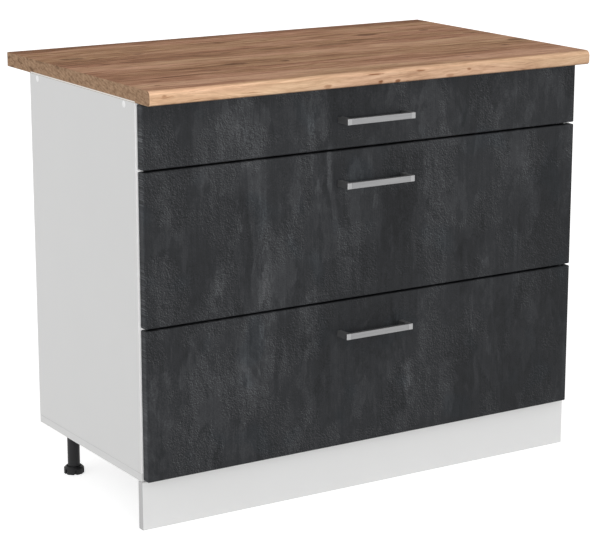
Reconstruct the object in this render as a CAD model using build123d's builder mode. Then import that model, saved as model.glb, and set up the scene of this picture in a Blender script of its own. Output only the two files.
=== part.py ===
from build123d import *
import os

os.makedirs("parts", exist_ok=True)

# A kitchen base cabinet with three drawers, in millimetres.
# The origin is on the floor, under the middle of the worktop. +X is to the
# right, +Y to the wall behind, +Z up, and the drawers open towards -Y.

# ---- driving dimensions: carcass -----------------------------------------
cabinet_width = 1000
carcass_depth = 438
board = 16
leg_height = 96
back_thickness = 3
back_inset = 12
groove_depth = 6
groove_play = 0.2
rail_width = 90

# ---- worktop -------------------------------------------------------------
worktop_depth = 600
worktop_thickness = 28
worktop_overhang = 38
worktop_top_radius = 8
worktop_bottom_radius = 3

# ---- drawer fronts and handles --------------------------------------------
front_reveal = 4
front_gap = 4
top_front_gap = 3
front_thickness = 18
front_rest_gap = 1.5
front_edge_radius = 2.5
lower_front_height = 292
top_front_height = 119
first_front_lift = 2
handle_length = 155
handle_height = 12
handle_projection = 35
handle_bar = 8
handle_leg = 10
handle_inner_radius = 8
handle_edge_chamfer = 0.8
handle_drop = 63

# ---- drawer boxes ---------------------------------------------------------
box_length = 400
lower_box_drop = 86
top_box_drop = 23
box_lift = 26
drawer_bottom_thickness = 6
drawer_bottom_lift = 10
drawer_groove_depth = 8
head_access_radius = 5

# ---- ball runners ----------------------------------------------------------
runner_length = 400
runner_height = 45
runner_thickness = 12.7
runner_rise = 35
runner_setback = 2
runner_sheet = 1.2
ball_radius = 1.5
ball_play = 0.15
race_depth = 0.4
race_lip = 0.6
cage_sheet = 0.6
cage_play = 0.2
cage_length = 180
cage_ball_play = 0.05
balls_per_row = 2
ball_sides = 4
ball_half = 1.4
ball_taper = 30

# ---- legs and plinth --------------------------------------------------------
leg_inset_x = 40
front_leg_inset = 39
rear_leg_inset = 68
tube_radius = 12.5
leg_sides = 16
bore_sides = 12
flange_radius = 25
flange_thickness = 4
flange_boss_radius = 15.5
flange_boss_height = 6
flange_boss_taper = 24
foot_radius = 20.5
foot_height = 15
foot_bevel = 4
foot_floor = 9
foot_rim_play = 2.1
foot_seat_gap = 0.3
stem_radius = 8
stem_play = 0.06
stem_length = 50
stem_spare = 14
foot_notches = 6
notch_width = 3.5
notch_depth = 3
notch_height = 8
plinth_setback = 16
plinth_thickness = 16
plinth_top_gap = 1
clip_height = 22
clip_lift = 42
clip_wall = 3
clip_width = 32
clip_neck = 10
clip_mouth = 18
clip_play = 0.1

# ---- fasteners --------------------------------------------------------------
hole_play = 0.1
screw_sides = 6
countersink_taper = 40.9
confirmat_length = 50
confirmat_shank = 7
confirmat_head = 10
cap_radius = 6.5
cap_thickness = 1
cap_sides = 12
dowel_radius = 4
dowel_length = 30
dowel_in_face = 9
dowel_hole_spare = 0.5
box_screw_length = 40
face_screw_length = 30
runner_screw_length = 14
small_shank = 4
small_head = 8
runner_head = 6.4
runner_shank = 3.5
worktop_screw_length = 32
leg_screw_length = 18
clip_screw_length = 14
pan_head_height = 2.4
handle_screw_length = 28
leg_screw_circle = 20
leg_screw_count = 3
front_rail_screw_inset = 42
rear_rail_screw_inset = 33
bottom_screw_inset = 60
rail_dowel_inset = 18
side_dowel_inset = 110
bumper_radius = 3.5
bumper_inset = 20
bumper_play = 0.2
worktop_screw_inset = 120
box_screw_inset = 9
box_screw_above_groove = 8
face_screw_near = 130
face_screw_far = 390
runner_screw_inset = 37
clip_screw_spacing = 22

# ---- places worked out from the dimensions ----------------------------------
half_width = cabinet_width / 2
wall_x = half_width - board
front_face_y = -worktop_depth / 2 + worktop_overhang
front_back_y = front_face_y + front_thickness
carcass_front_y = front_back_y + front_rest_gap
carcass_back_y = carcass_front_y + carcass_depth
back_front_y = carcass_back_y - back_inset - back_thickness
bottom_z = leg_height
inside_z = bottom_z + board
# each drawer: name, height of its front's lower edge, front height, box height
first_z = bottom_z + first_front_lift
second_z = first_z + lower_front_height + front_gap
third_z = second_z + lower_front_height + front_gap
drawers = [
    ("bottom", first_z, lower_front_height, lower_front_height - box_lift - lower_box_drop),
    ("middle", second_z, lower_front_height, lower_front_height - box_lift - lower_box_drop),
    ("top", third_z, top_front_height, top_front_height - box_lift - top_box_drop),
]

# the carcass is as tall as its fronts need, with the rails and the worktop on top
underside_z = third_z + top_front_height + top_front_gap
top_z = underside_z + worktop_thickness
rail_z = underside_z - board
rail_mid_z = underside_z - board / 2
front_rail = (carcass_front_y, carcass_front_y + rail_width)
rear_rail = (back_front_y - rail_width, back_front_y)
sides = (-1, 1)


def slab(x, y, z, mode=Mode.ADD):
    """A straight board between three pairs of low and high coordinates."""
    with Locations((x[0], y[0], z[0])):
        Box(x[1] - x[0], y[1] - y[0], z[1] - z[0], align=(Align.MIN,) * 3, mode=mode)


def drill(planes, diameter, depth, head=0):
    """Clearance holes for screws along each plane, with a countersink where a head is given."""
    cutter = countersunk_screw(depth, diameter + 2 * hole_play, head + 2 * hole_play)
    with Locations(*planes):
        add(cutter, mode=Mode.SUBTRACT)


def facing(x, y, z, way):
    """A plane at a point, whose normal points the way that a screw's head faces."""
    return Plane(origin=(x, y, z), z_dir=way)


def prism(radius, count, length, over_corners=True):
    """An upright prism from the origin, along +Z or, where its length is negative, -Z."""
    with BuildPart() as rod:
        with BuildSketch():
            RegularPolygon(radius, count, major_radius=over_corners)
        extrude(amount=length)
    return rod.part


def countersunk_screw(length, shank, head):
    """A screw along -Z with its flat head at the origin, 45 degrees steep at the corners of its few sides."""
    with BuildPart() as screw:
        add(prism(shank / 2, screw_sides, -length))
        if head > shank:
            with BuildSketch():
                RegularPolygon(head / 2, screw_sides)
            extrude(amount=(shank - head) / 2, taper=countersink_taper)
    return screw.part


def pan_screw(length, shank, head):
    """A screw along -Z whose raised head stands on the origin's plane."""
    with BuildPart() as screw:
        add(prism(shank / 2, screw_sides, -length))
        with BuildSketch():
            RegularPolygon(head / 2, screw_sides)
        extrude(amount=pan_head_height, taper=30)
    return screw.part


def group(name, piece_planes):
    """Write copies of pieces as one node of separate solids, each on its plane."""
    with BuildPart() as pieces:
        for piece, planes in piece_planes:
            with Locations(*planes):
                add(piece)
    save(name, pieces.part)


def save(name, part):
    """Label a finished piece and write it."""
    part.label = name
    export_step(part, f"parts/{name}.step")


# ---- where the fasteners of the carcass sit ----------------------------------
rail_screw_y = (carcass_front_y + front_rail_screw_inset, carcass_back_y - rear_rail_screw_inset)
cap_seat_x = half_width - cap_thickness
rail_screws = [facing(s * cap_seat_x, y, rail_mid_z, (s, 0, 0)) for s in sides for y in rail_screw_y]
side_mid_x = half_width - board / 2
bottom_screw_y = (carcass_front_y + bottom_screw_inset, carcass_back_y - bottom_screw_inset)
bottom_screws = [facing(s * side_mid_x, y, bottom_z, (0, 0, -1)) for s in sides for y in bottom_screw_y]
rail_dowel_y = (front_rail[1] - rail_dowel_inset, rear_rail[0] + rail_dowel_inset)
rail_dowels = [facing(s * (wall_x + dowel_in_face), y, rail_mid_z, (s, 0, 0)) for s in sides for y in rail_dowel_y]
side_dowel_y = (carcass_front_y + side_dowel_inset, carcass_back_y - side_dowel_inset)
side_dowels = [facing(s * side_mid_x, y, inside_z - dowel_in_face, (0, 0, -1)) for s in sides for y in side_dowel_y]
worktop_screw_y = (sum(front_rail) / 2, sum(rear_rail) / 2)
worktop_screw_x = wall_x - worktop_screw_inset
worktop_screws = [facing(s * worktop_screw_x, y, rail_z, (0, 0, -1)) for s in sides for y in worktop_screw_y]
leg_x = half_width - leg_inset_x
leg_y = (carcass_front_y + front_leg_inset, carcass_back_y - rear_leg_inset)
leg_places = [(s * leg_x, y) for y in leg_y for s in sides]
leg_screw_z = bottom_z - flange_thickness
leg_screws = [
    facing(x + spot.position.X, y + spot.position.Y, leg_screw_z, (0, 0, -1))
    for x, y in leg_places
    for spot in PolarLocations(leg_screw_circle, leg_screw_count, start_angle=90)
]
runner_y = carcass_front_y + runner_setback
runner_screw_y = (runner_y + runner_screw_inset, runner_y + runner_length - runner_screw_inset)


def runner_height_of(front_z):
    """Height of a runner's middle above the floor, from its drawer front's lower edge."""
    return front_z + box_lift + runner_rise


web_x = wall_x - runner_sheet
runner_screws = [
    facing(s * web_x, y, runner_height_of(z), (-s, 0, 0)) for _, z, _, _ in drawers for s in sides for y in runner_screw_y
]
dowel_hole = dowel_length + dowel_hole_spare


def dowel_planes(planes):
    """The dowels' planes moved out by the spare depth of their blind holes."""
    return [plane.offset(dowel_hole_spare / 2) for plane in planes]


# ---- carcass boards -----------------------------------------------------------
with BuildPart() as bottom_panel:
    slab((-half_width, half_width), (carcass_front_y, carcass_back_y), (bottom_z, inside_z))
    slab(
        (-wall_x - groove_depth, wall_x + groove_depth),
        (back_front_y - groove_play, back_front_y + back_thickness + groove_play),
        (inside_z - groove_depth, inside_z),
        mode=Mode.SUBTRACT,
    )
    drill(bottom_screws, confirmat_shank, confirmat_length, confirmat_head)
    drill(dowel_planes(side_dowels), 2 * dowel_radius, dowel_hole)
    drill(leg_screws, small_shank, leg_screw_length)
save("bottom_panel", bottom_panel.part)

for side, side_name in ((-1, "left"), (1, "right")):
    with BuildPart() as side_panel:
        slab(
            (min(side * wall_x, side * half_width), max(side * wall_x, side * half_width)),
            (carcass_front_y, carcass_back_y),
            (inside_z, underside_z),
        )
        slab(
            (min(side * wall_x, side * (wall_x + groove_depth)), max(side * wall_x, side * (wall_x + groove_depth))),
            (back_front_y - groove_play, back_front_y + back_thickness + groove_play),
            (inside_z, underside_z),
            mode=Mode.SUBTRACT,
        )
        drill(rail_screws, confirmat_shank, confirmat_length, confirmat_head)
        with Locations(*rail_screws):
            add(prism(cap_radius + hole_play, cap_sides, cap_thickness), mode=Mode.SUBTRACT)
        drill(bottom_screws, confirmat_shank, confirmat_length)
        drill(dowel_planes(rail_dowels), 2 * dowel_radius, dowel_hole)
        drill(dowel_planes(side_dowels), 2 * dowel_radius, dowel_hole)
        drill(runner_screws, runner_shank, runner_screw_length, runner_head)
    save(f"{side_name}_side_panel", side_panel.part)

for rail, rail_name in ((front_rail, "front"), (rear_rail, "rear")):
    with BuildPart() as top_rail:
        slab((-wall_x, wall_x), rail, (rail_z, underside_z))
        drill(rail_screws, confirmat_shank, confirmat_length)
        drill(dowel_planes(rail_dowels), 2 * dowel_radius, dowel_hole)
        drill(worktop_screws, small_shank, worktop_screw_length)
    save(f"{rail_name}_top_rail", top_rail.part)

back_half_width = wall_x + groove_depth - groove_play
with BuildPart() as back_panel:
    slab(
        (-back_half_width, back_half_width),
        (back_front_y, back_front_y + back_thickness),
        (inside_z - groove_depth + groove_play, underside_z),
    )
save("back_panel", back_panel.part)

# ---- worktop with a rounded front edge ------------------------------------------
with BuildPart() as worktop:
    slab((-half_width, half_width), (-worktop_depth / 2, worktop_depth / 2), (underside_z, top_z))
    front_edges = worktop.edges().filter_by(Axis.X).group_by(Axis.Y)[0].sort_by(Axis.Z)
    fillet(front_edges[-1], worktop_top_radius)
    front_edges = worktop.edges().filter_by(Axis.X).group_by(Axis.Y)[0].sort_by(Axis.Z)
    fillet(front_edges[0], worktop_bottom_radius)
    drill(worktop_screws, small_shank, worktop_screw_length)
save("worktop", worktop.part)

# ---- plinth board and the clips that hold it to the front legs --------------------
plinth_y = front_face_y + plinth_setback
plinth_back_y = plinth_y + plinth_thickness
clip_face_y = plinth_back_y + clip_wall
clip_mid_z = clip_lift + clip_height / 2
clip_screws = [
    facing(s * leg_x + a * clip_screw_spacing / 2, clip_face_y, clip_mid_z, (0, 1, 0)) for s in sides for a in sides
]
with BuildPart() as plinth_board:
    slab((-half_width, half_width), (plinth_y, plinth_back_y), (0, leg_height - plinth_top_gap))
    drill(clip_screws, small_shank, clip_screw_length)
save("plinth_board", plinth_board.part)

ring_outer = tube_radius + clip_play + clip_wall
with BuildPart() as plinth_clips:
    for side in sides:
        with BuildSketch(Plane.XY.offset(clip_lift)):
            with Locations((side * leg_x, leg_y[0])):
                RegularPolygon(ring_outer, leg_sides)
            with Locations((side * leg_x, (clip_face_y + leg_y[0]) / 2)):
                Rectangle(clip_neck, leg_y[0] - clip_face_y)
            with Locations((side * leg_x, plinth_back_y + clip_wall / 2)):
                Rectangle(clip_width, clip_wall)
            with Locations((side * leg_x, leg_y[0])):
                RegularPolygon(tube_radius + clip_play, leg_sides, major_radius=False, mode=Mode.SUBTRACT)
            with Locations((side * leg_x, leg_y[0] + ring_outer / 2)):
                Rectangle(clip_mouth, ring_outer, mode=Mode.SUBTRACT)
        extrude(amount=clip_height)
    drill(clip_screws, small_shank, clip_screw_length)
save("plinth_clips", plinth_clips.part)

# ---- legs: a flanged tube under the bottom panel, and a screw foot in its bore -------
tube_end_z = foot_floor + foot_seat_gap
bore_radius = stem_radius + stem_play
bore_top_z = foot_floor + stem_length + stem_spare
with BuildPart() as leg_tube:
    with Locations((0, 0, leg_screw_z)):
        add(prism(flange_radius, leg_sides, flange_thickness))
        add(prism(tube_radius, leg_sides, tube_end_z - leg_screw_z))
    with BuildSketch(Plane.XY.offset(leg_screw_z)):
        RegularPolygon(flange_boss_radius, leg_sides)
    extrude(amount=-flange_boss_height, taper=flange_boss_taper)
    with Locations((0, 0, tube_end_z)):
        add(prism(bore_radius, bore_sides, bore_top_z - tube_end_z, over_corners=False), mode=Mode.SUBTRACT)
with BuildPart() as leg_tubes:
    with Locations(*leg_places):
        add(leg_tube.part)
    drill(leg_screws, small_shank, leg_screw_length)
save("leg_tubes", leg_tubes.part)

rim_inner = tube_radius + foot_rim_play
foot_names = ("front_left_foot", "front_right_foot", "rear_left_foot", "rear_right_foot")
for foot_name, (x, y) in zip(foot_names, leg_places):
    with BuildPart() as foot:
        with Locations((x, y, 0)):
            add(prism(foot_radius, leg_sides, foot_height - foot_bevel))
        with BuildSketch(Plane(origin=(x, y, foot_height - foot_bevel))):
            RegularPolygon(foot_radius, leg_sides)
        extrude(amount=foot_bevel, taper=45)
        with Locations((x, y, foot_floor)):
            add(prism(rim_inner, leg_sides, foot_height), mode=Mode.SUBTRACT)
            add(prism(stem_radius, bore_sides, stem_length))
        with Locations((x, y, 0)):
            with PolarLocations(foot_radius, foot_notches, start_angle=180 / leg_sides):
                Box(2 * notch_depth, notch_width, 2 * notch_height, mode=Mode.SUBTRACT)
    save(foot_name, foot.part)

# ---- fasteners of the carcass ---------------------------------------------------------
confirmat = countersunk_screw(confirmat_length, confirmat_shank, confirmat_head)
group("carcass_screws", [(confirmat, rail_screws + bottom_screws)])

group("screw_caps", [(prism(cap_radius, cap_sides, cap_thickness), rail_screws)])
group("dowels", [(prism(dowel_radius, screw_sides, -dowel_length), rail_dowels + side_dowels)])

group("worktop_screws", [(pan_screw(worktop_screw_length, small_shank, small_head), worktop_screws)])
group(
    "leg_screws",
    [
        (pan_screw(leg_screw_length, small_shank, small_head), leg_screws),
        (pan_screw(clip_screw_length, small_shank, small_head), clip_screws),
    ],
)
runner_screw = countersunk_screw(runner_screw_length, runner_shank, runner_head)
group("runner_screws", [(runner_screw, runner_screws)])

bumper_x = wall_x + board / 2
bumper_z = [z for _, low, height, _ in drawers for z in (low + bumper_inset, low + height - bumper_inset)]
bumper_planes = [facing(s * bumper_x, carcass_front_y, z, (0, -1, 0)) for s in sides for z in bumper_z]
group("front_bumpers", [(prism(bumper_radius, screw_sides, front_rest_gap - bumper_play), bumper_planes)])

# ---- the runners' cross-section, measured from the side panel and from its middle -------
# Balls run in grooves rolled into the flanges: the outer row between the cabinet
# member and the middle member, the inner row between the middle and drawer members.
race_radius = ball_radius + ball_play
outer_half = runner_height / 2
outer_ball_v = outer_half - runner_sheet + race_depth - race_radius
middle_half = outer_ball_v - race_radius + race_depth
inner_ball_v = middle_half - runner_sheet + race_depth - race_radius
drawer_half = inner_ball_v - race_radius + race_depth
outer_cage_u = runner_sheet + cage_play
middle_web_u = outer_cage_u + cage_sheet + cage_play
inner_cage_u = middle_web_u + runner_sheet + cage_play
outer_ball_u = middle_web_u + runner_sheet + race_radius
drawer_web_u = runner_thickness - runner_sheet
middle_lip_u = drawer_web_u - race_lip
inner_ball_u = middle_lip_u - race_lip - race_radius
outer_lip_u = outer_ball_u + race_radius + race_lip
drawer_lip_u = inner_ball_u - race_radius - race_lip
cage_hole_radius = ball_radius + cage_ball_play
ball_pitch = cage_length / balls_per_row
cage_y = runner_y + (runner_length - cage_length) / 2
ball_y = [cage_y + ball_pitch * (i + 0.5) for i in range(balls_per_row)]


with BuildPart() as faceted_ball:
    with BuildSketch():
        RegularPolygon(ball_radius, ball_sides)
    extrude(amount=ball_half, both=True, taper=ball_taper)
ball = faceted_ball.part


def channel(u, half, web_low):
    """A C-shaped strip section between two widths, open away from its web."""
    with Locations(((u[0] + u[1]) / 2, 0)):
        Rectangle(u[1] - u[0], 2 * half)
    opening = (u[0] + runner_sheet, u[1]) if web_low else (u[0], u[1] - runner_sheet)
    with Locations(((opening[0] + opening[1]) / 2, 0)):
        Rectangle(opening[1] - opening[0], 2 * (half - runner_sheet), mode=Mode.SUBTRACT)


def races(u, v):
    """The rolled ball grooves at one row's place, in the upper and lower flange."""
    with Locations((u, v), (u, -v)):
        RegularPolygon(race_radius, screw_sides, major_radius=False, mode=Mode.SUBTRACT)


def ball_cage(plane_y, z, web_u, ball_u, ball_v):
    """A folded steel strip that spaces two rows of balls, in the part being built."""
    reach = ball_u + cage_hole_radius + race_lip
    tall = ball_v + cage_sheet / 2
    section = Plane(origin=(-wall_x, plane_y, z), x_dir=(1, 0, 0), z_dir=(0, -1, 0))
    with BuildSketch(section) as strip:
        with Locations(((web_u + reach) / 2, 0)):
            Rectangle(reach - web_u, 2 * tall)
        with Locations(((web_u + cage_sheet + reach) / 2, 0)):
            Rectangle(reach - web_u - cage_sheet, 2 * (tall - cage_sheet), mode=Mode.SUBTRACT)
    extrude(strip.sketch, amount=-cage_length)
    row = [(ball_u - wall_x, y, z + s * ball_v) for s in sides for y in ball_y]
    hole = prism(cage_hole_radius, ball_sides, 2 * cage_sheet).moved(Location((0, 0, -cage_sheet)))
    with Locations(*row):
        add(hole, mode=Mode.SUBTRACT)
    with Locations(*row):
        add(ball)


for level, low_z, front_height, box_height in drawers:
    front_top_z = low_z + front_height
    box_z = low_z + box_lift
    runner_z = runner_height_of(low_z)
    section = Plane(origin=(-wall_x, runner_y, runner_z), x_dir=(1, 0, 0), z_dir=(0, -1, 0))
    box_outer_x = wall_x - runner_thickness
    box_inner_x = box_outer_x - board
    box_front_y = (front_back_y, front_back_y + board)
    box_back_y = (front_back_y + box_length - board, front_back_y + box_length)

    # where this drawer's fasteners sit
    drawer_web_x = wall_x - drawer_web_u
    member_screws = [
        facing(s * drawer_web_x, y, runner_z, (s, 0, 0)) for s in sides for y in runner_screw_y
    ]
    corner_y = (sum(box_front_y) / 2, sum(box_back_y) / 2)
    corner_z = (
        box_z + drawer_bottom_lift + drawer_bottom_thickness + box_screw_above_groove,
        box_z + box_height - box_screw_inset,
    )
    corner_screws = [
        facing(s * box_outer_x, y, z, (s, 0, 0)) for s in sides for y in corner_y for z in corner_z
    ]
    face_z = box_z + box_height / 2
    face_screws = [
        facing(s * x, box_front_y[1], face_z, (0, 1, 0)) for s in sides for x in (face_screw_near, face_screw_far)
    ]
    handle_z = front_top_z - handle_drop
    handle_leg_x = (handle_length - handle_leg) / 2
    handle_screws = [facing(s * handle_leg_x, front_back_y, handle_z, (0, 1, 0)) for s in sides]

    # the decorated front, softly rounded around its face
    with BuildPart() as front:
        slab(
            (front_reveal - half_width, half_width - front_reveal),
            (front_face_y, front_back_y),
            (low_z, front_top_z),
        )
        fillet(front.faces().sort_by(Axis.Y)[0].edges(), front_edge_radius)
        drill(handle_screws, small_shank, front_thickness)
        drill(face_screws, small_shank, face_screw_length)
    save(f"{level}_drawer_front", front.part)

    # bracket handle: a flat bar on two legs, rounded where they meet
    bar_y = front_face_y - handle_projection
    with BuildPart() as handle:
        with BuildSketch(Plane.XY.offset(handle_z - handle_height / 2)):
            with Locations((0, front_face_y - handle_projection / 2)):
                Rectangle(handle_length, handle_projection)
            inner_depth = handle_projection - handle_bar
            with BuildSketch(mode=Mode.SUBTRACT) as finger_gap:
                with Locations((0, front_face_y - inner_depth / 2)):
                    Rectangle(handle_length - 2 * handle_leg, inner_depth)
                fillet(finger_gap.vertices().group_by(Axis.Y)[0], handle_inner_radius)
        extrude(amount=handle_height)
        chamfer(handle.faces().sort_by(Axis.Y)[0].edges(), handle_edge_chamfer)
        drill(handle_screws, small_shank, handle_screw_length)
    save(f"{level}_handle", handle.part)

    # the box: two sides with the front and back boards between them
    groove_z = (
        box_z + drawer_bottom_lift - groove_play,
        box_z + drawer_bottom_lift + drawer_bottom_thickness + groove_play,
    )
    groove_x = box_inner_x + drawer_groove_depth
    groove_y = (box_front_y[1] - drawer_groove_depth, box_back_y[0] + drawer_groove_depth)
    for side, side_name in ((-1, "left"), (1, "right")):
        with BuildPart() as box_side:
            slab(
                (min(side * box_inner_x, side * box_outer_x), max(side * box_inner_x, side * box_outer_x)),
                (box_front_y[0], box_back_y[1]),
                (box_z, box_z + box_height),
            )
            slab((-groove_x, groove_x), groove_y, groove_z, mode=Mode.SUBTRACT)
            drill(corner_screws, small_shank, box_screw_length, small_head)
            drill(member_screws, runner_shank, runner_screw_length, runner_head)
        save(f"{level}_drawer_{side_name}_side", box_side.part)

    for span, end_name in ((box_front_y, "inner_front"), (box_back_y, "back")):
        with BuildPart() as box_end:
            slab((-box_inner_x, box_inner_x), span, (box_z, box_z + box_height))
            slab((-groove_x, groove_x), groove_y, groove_z, mode=Mode.SUBTRACT)
            drill(corner_screws, small_shank, box_screw_length)
            if end_name == "inner_front":
                drill(face_screws, small_shank, face_screw_length, small_head)
                drill([plane.offset(board) for plane in handle_screws], 2 * head_access_radius, board)
        save(f"{level}_drawer_{end_name}", box_end.part)

    with BuildPart() as box_bottom:
        slab(
            (groove_play - groove_x, groove_x - groove_play),
            (groove_y[0] + groove_play, groove_y[1] - groove_play),
            (groove_z[0] + groove_play, groove_z[1] - groove_play),
        )
    save(f"{level}_drawer_bottom", box_bottom.part)

    group(
        f"{level}_drawer_screws",
        [
            (countersunk_screw(box_screw_length, small_shank, small_head), corner_screws),
            (countersunk_screw(face_screw_length, small_shank, small_head), face_screws),
            (runner_screw, member_screws),
            (pan_screw(handle_screw_length, small_shank, small_head), handle_screws),
        ],
    )

    # the runner's three members, left and right, each pair sliding as one
    with BuildPart() as cabinet_members:
        with BuildSketch(section):
            channel((0, outer_lip_u), outer_half, web_low=True)
            races(outer_ball_u, outer_ball_v)
        extrude(amount=-runner_length)
        drill(runner_screws, runner_shank, runner_screw_length, runner_head)
        mirror(about=Plane.YZ)
    save(f"{level}_runner_cabinet_members", cabinet_members.part)

    with BuildPart() as middle_members:
        with BuildSketch(section):
            channel((middle_web_u, middle_lip_u), middle_half, web_low=True)
            races(outer_ball_u, outer_ball_v)
            races(inner_ball_u, inner_ball_v)
        extrude(amount=-runner_length)
        mirror(about=Plane.YZ)
    save(f"{level}_runner_middle_members", middle_members.part)

    with BuildPart() as drawer_members:
        with BuildSketch(section):
            channel((drawer_lip_u, runner_thickness), drawer_half, web_low=False)
            races(inner_ball_u, inner_ball_v)
        extrude(amount=-runner_length)
        drill(member_screws, runner_shank, runner_screw_length, runner_head)
        mirror(about=Plane.YZ)
    save(f"{level}_runner_drawer_members", drawer_members.part)

    with BuildPart() as outer_cages:
        ball_cage(cage_y, runner_z, outer_cage_u, outer_ball_u, outer_ball_v)
        mirror(about=Plane.YZ)
    save(f"{level}_outer_ball_cages", outer_cages.part)

    with BuildPart() as inner_cages:
        ball_cage(cage_y, runner_z, inner_cage_u, inner_ball_u, inner_ball_v)
        mirror(about=Plane.YZ)
    save(f"{level}_inner_ball_cages", inner_cages.part)
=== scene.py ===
import math

import bpy
import numpy as np
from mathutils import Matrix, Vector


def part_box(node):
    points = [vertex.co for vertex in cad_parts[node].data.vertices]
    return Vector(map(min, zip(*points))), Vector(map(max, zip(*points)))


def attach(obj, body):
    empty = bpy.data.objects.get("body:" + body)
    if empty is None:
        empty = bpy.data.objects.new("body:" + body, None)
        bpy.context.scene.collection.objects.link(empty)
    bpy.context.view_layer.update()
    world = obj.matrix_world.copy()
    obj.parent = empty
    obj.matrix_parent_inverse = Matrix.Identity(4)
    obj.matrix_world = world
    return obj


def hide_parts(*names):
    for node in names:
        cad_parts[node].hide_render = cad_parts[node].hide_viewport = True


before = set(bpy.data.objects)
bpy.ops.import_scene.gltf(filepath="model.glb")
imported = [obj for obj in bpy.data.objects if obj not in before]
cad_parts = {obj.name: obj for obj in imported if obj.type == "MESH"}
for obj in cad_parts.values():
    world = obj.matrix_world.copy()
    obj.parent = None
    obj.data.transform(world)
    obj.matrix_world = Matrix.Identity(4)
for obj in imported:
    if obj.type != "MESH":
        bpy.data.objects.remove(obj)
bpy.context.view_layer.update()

# ---- the camera, where the photographer stood ------------
# Left of the cabinet, a little above its worktop, some four metres away with a long
# lens. Its place, turn and lens come from fitting the corners of the boards.
camera_lens = bpy.data.cameras.new("camera")
camera_lens.sensor_width = 36
camera_lens.lens = 128.4
camera_turn = 32.086
camera_drop = 13.912
camera = bpy.data.objects.new("camera", camera_lens)
camera.location = (-2.2645, -3.6150, 1.4261)
camera.rotation_euler = (math.radians(90 - camera_drop), 0, math.radians(-camera_turn))
bpy.context.scene.collection.objects.link(camera)
bpy.context.scene.camera = camera
bpy.context.scene.view_settings.view_transform = "Standard"


# ---- the studio: white floor, white room and two soft lamps
# The unit was photographed on plain white. The floor shows white where the lamps reach
# it and keeps a soft shadow round the legs and the plinth.
class Value:
    """One socket of a material. Sums and products of values add Math nodes to its tree."""

    def __init__(self, finish, socket):
        self.finish = finish
        self.socket = socket

    def calculate(self, operation, *values):
        return self.finish.node("ShaderNodeMath", {"operation": operation}, dict(enumerate(values)))

    def __add__(self, other):
        return self.calculate("ADD", self, other)

    def __sub__(self, other):
        return self.calculate("SUBTRACT", self, other)

    def __rsub__(self, other):
        return self.calculate("SUBTRACT", other, self)

    def __mul__(self, other):
        return self.calculate("MULTIPLY", self, other)

    def __truediv__(self, other):
        return self.calculate("DIVIDE", self, other)

    def __pow__(self, other):
        return self.calculate("POWER", self, other)

    __radd__ = __add__
    __rmul__ = __mul__

    def least(self, other):
        return self.calculate("MINIMUM", self, other)

    def most(self, other):
        return self.calculate("MAXIMUM", self, other)

    def size(self):
        return self.calculate("ABSOLUTE", self)

    def wave(self):
        return self.calculate("SINE", self)

    def between(self, low, high):
        """0 below low, 1 above high, and a smooth step in between."""
        settings = {"interpolation_type": "SMOOTHSTEP"}
        inputs = {"Value": self, "From Min": low, "From Max": high}
        return self.finish.node("ShaderNodeMapRange", settings, inputs)


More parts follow.
